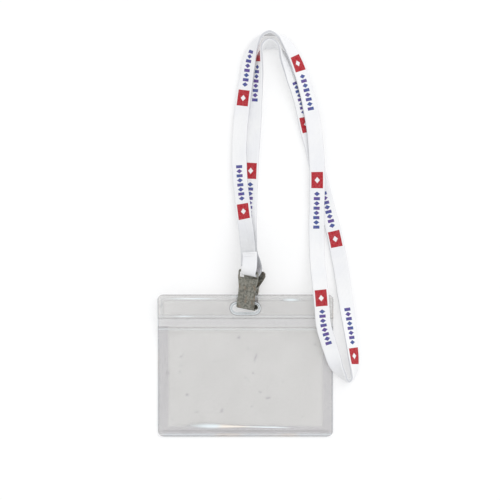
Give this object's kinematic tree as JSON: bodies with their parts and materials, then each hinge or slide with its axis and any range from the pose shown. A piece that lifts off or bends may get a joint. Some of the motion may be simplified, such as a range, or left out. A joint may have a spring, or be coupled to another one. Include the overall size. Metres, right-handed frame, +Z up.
{
  "type": "lanyard badge holder",
  "caption": "Clear landscape badge holder hung from a steel spring clip on a printed fabric neck lanyard, laid flat.",
  "frame": {"origin": "on the surface the part lies on, under the middle of the holder's width, on the flat underside of the back sheet", "axes": "+Z up from the surface, +Y from the holder to the far end of the lanyard, +X along the holder's long side"},
  "size_m": [0.1288, 0.2588, 0.0201],
  "materials": {
    "clear_vinyl": "clear soft vinyl, glossy, slightly grey",
    "nickel_steel": "worn nickel plating, satin with dull mottling",
    "spring_wire": "bright spring wire",
    "strap_fabric": "white tubular knitted polyester with a printed repeat",
    "thread": "white sewing thread"
  },
  "bodies": {
    "lanyard": {"lanyard_strap": "strap_fabric", "seam_stitching": "thread"},
    "clip": {"clip_base_plate": "nickel_steel", "pivot_pin": "nickel_steel", "torsion_spring": "spring_wire"},
    "lever": {"clip_lever": "nickel_steel"},
    "holder": {"back_sheet": "clear_vinyl", "header_strip": "clear_vinyl", "front_sheet": "clear_vinyl"}
  },
  "joints": [
    {"name": "clip_swing", "type": "hinge", "parent": "lanyard", "child": "clip", "pos_m": [0.00207, 0.05367, 0.01539], "axis": [-0.9256, 0.177, -0.3346], "range_deg": [0, 80], "deforming": ["lanyard_strap"]},
    {"name": "jaw_open", "type": "hinge", "parent": "clip", "child": "lever", "pos_m": [0.0025, 0.0423, 0.0082], "axis": [0.9256, -0.177, 0.3346], "range_deg": [0, 12], "stiffness_Nm_per_rad": 0.02, "springref_deg": -17.19, "deforming": ["torsion_spring"]},
    {"name": "holder_swivel", "type": "hinge", "parent": "clip", "child": "holder", "pos_m": [0.00115, 0.0304, 0.0058], "axis": [0, -0.225, 0.9744], "range_deg": [-3, 3]}
  ]
}
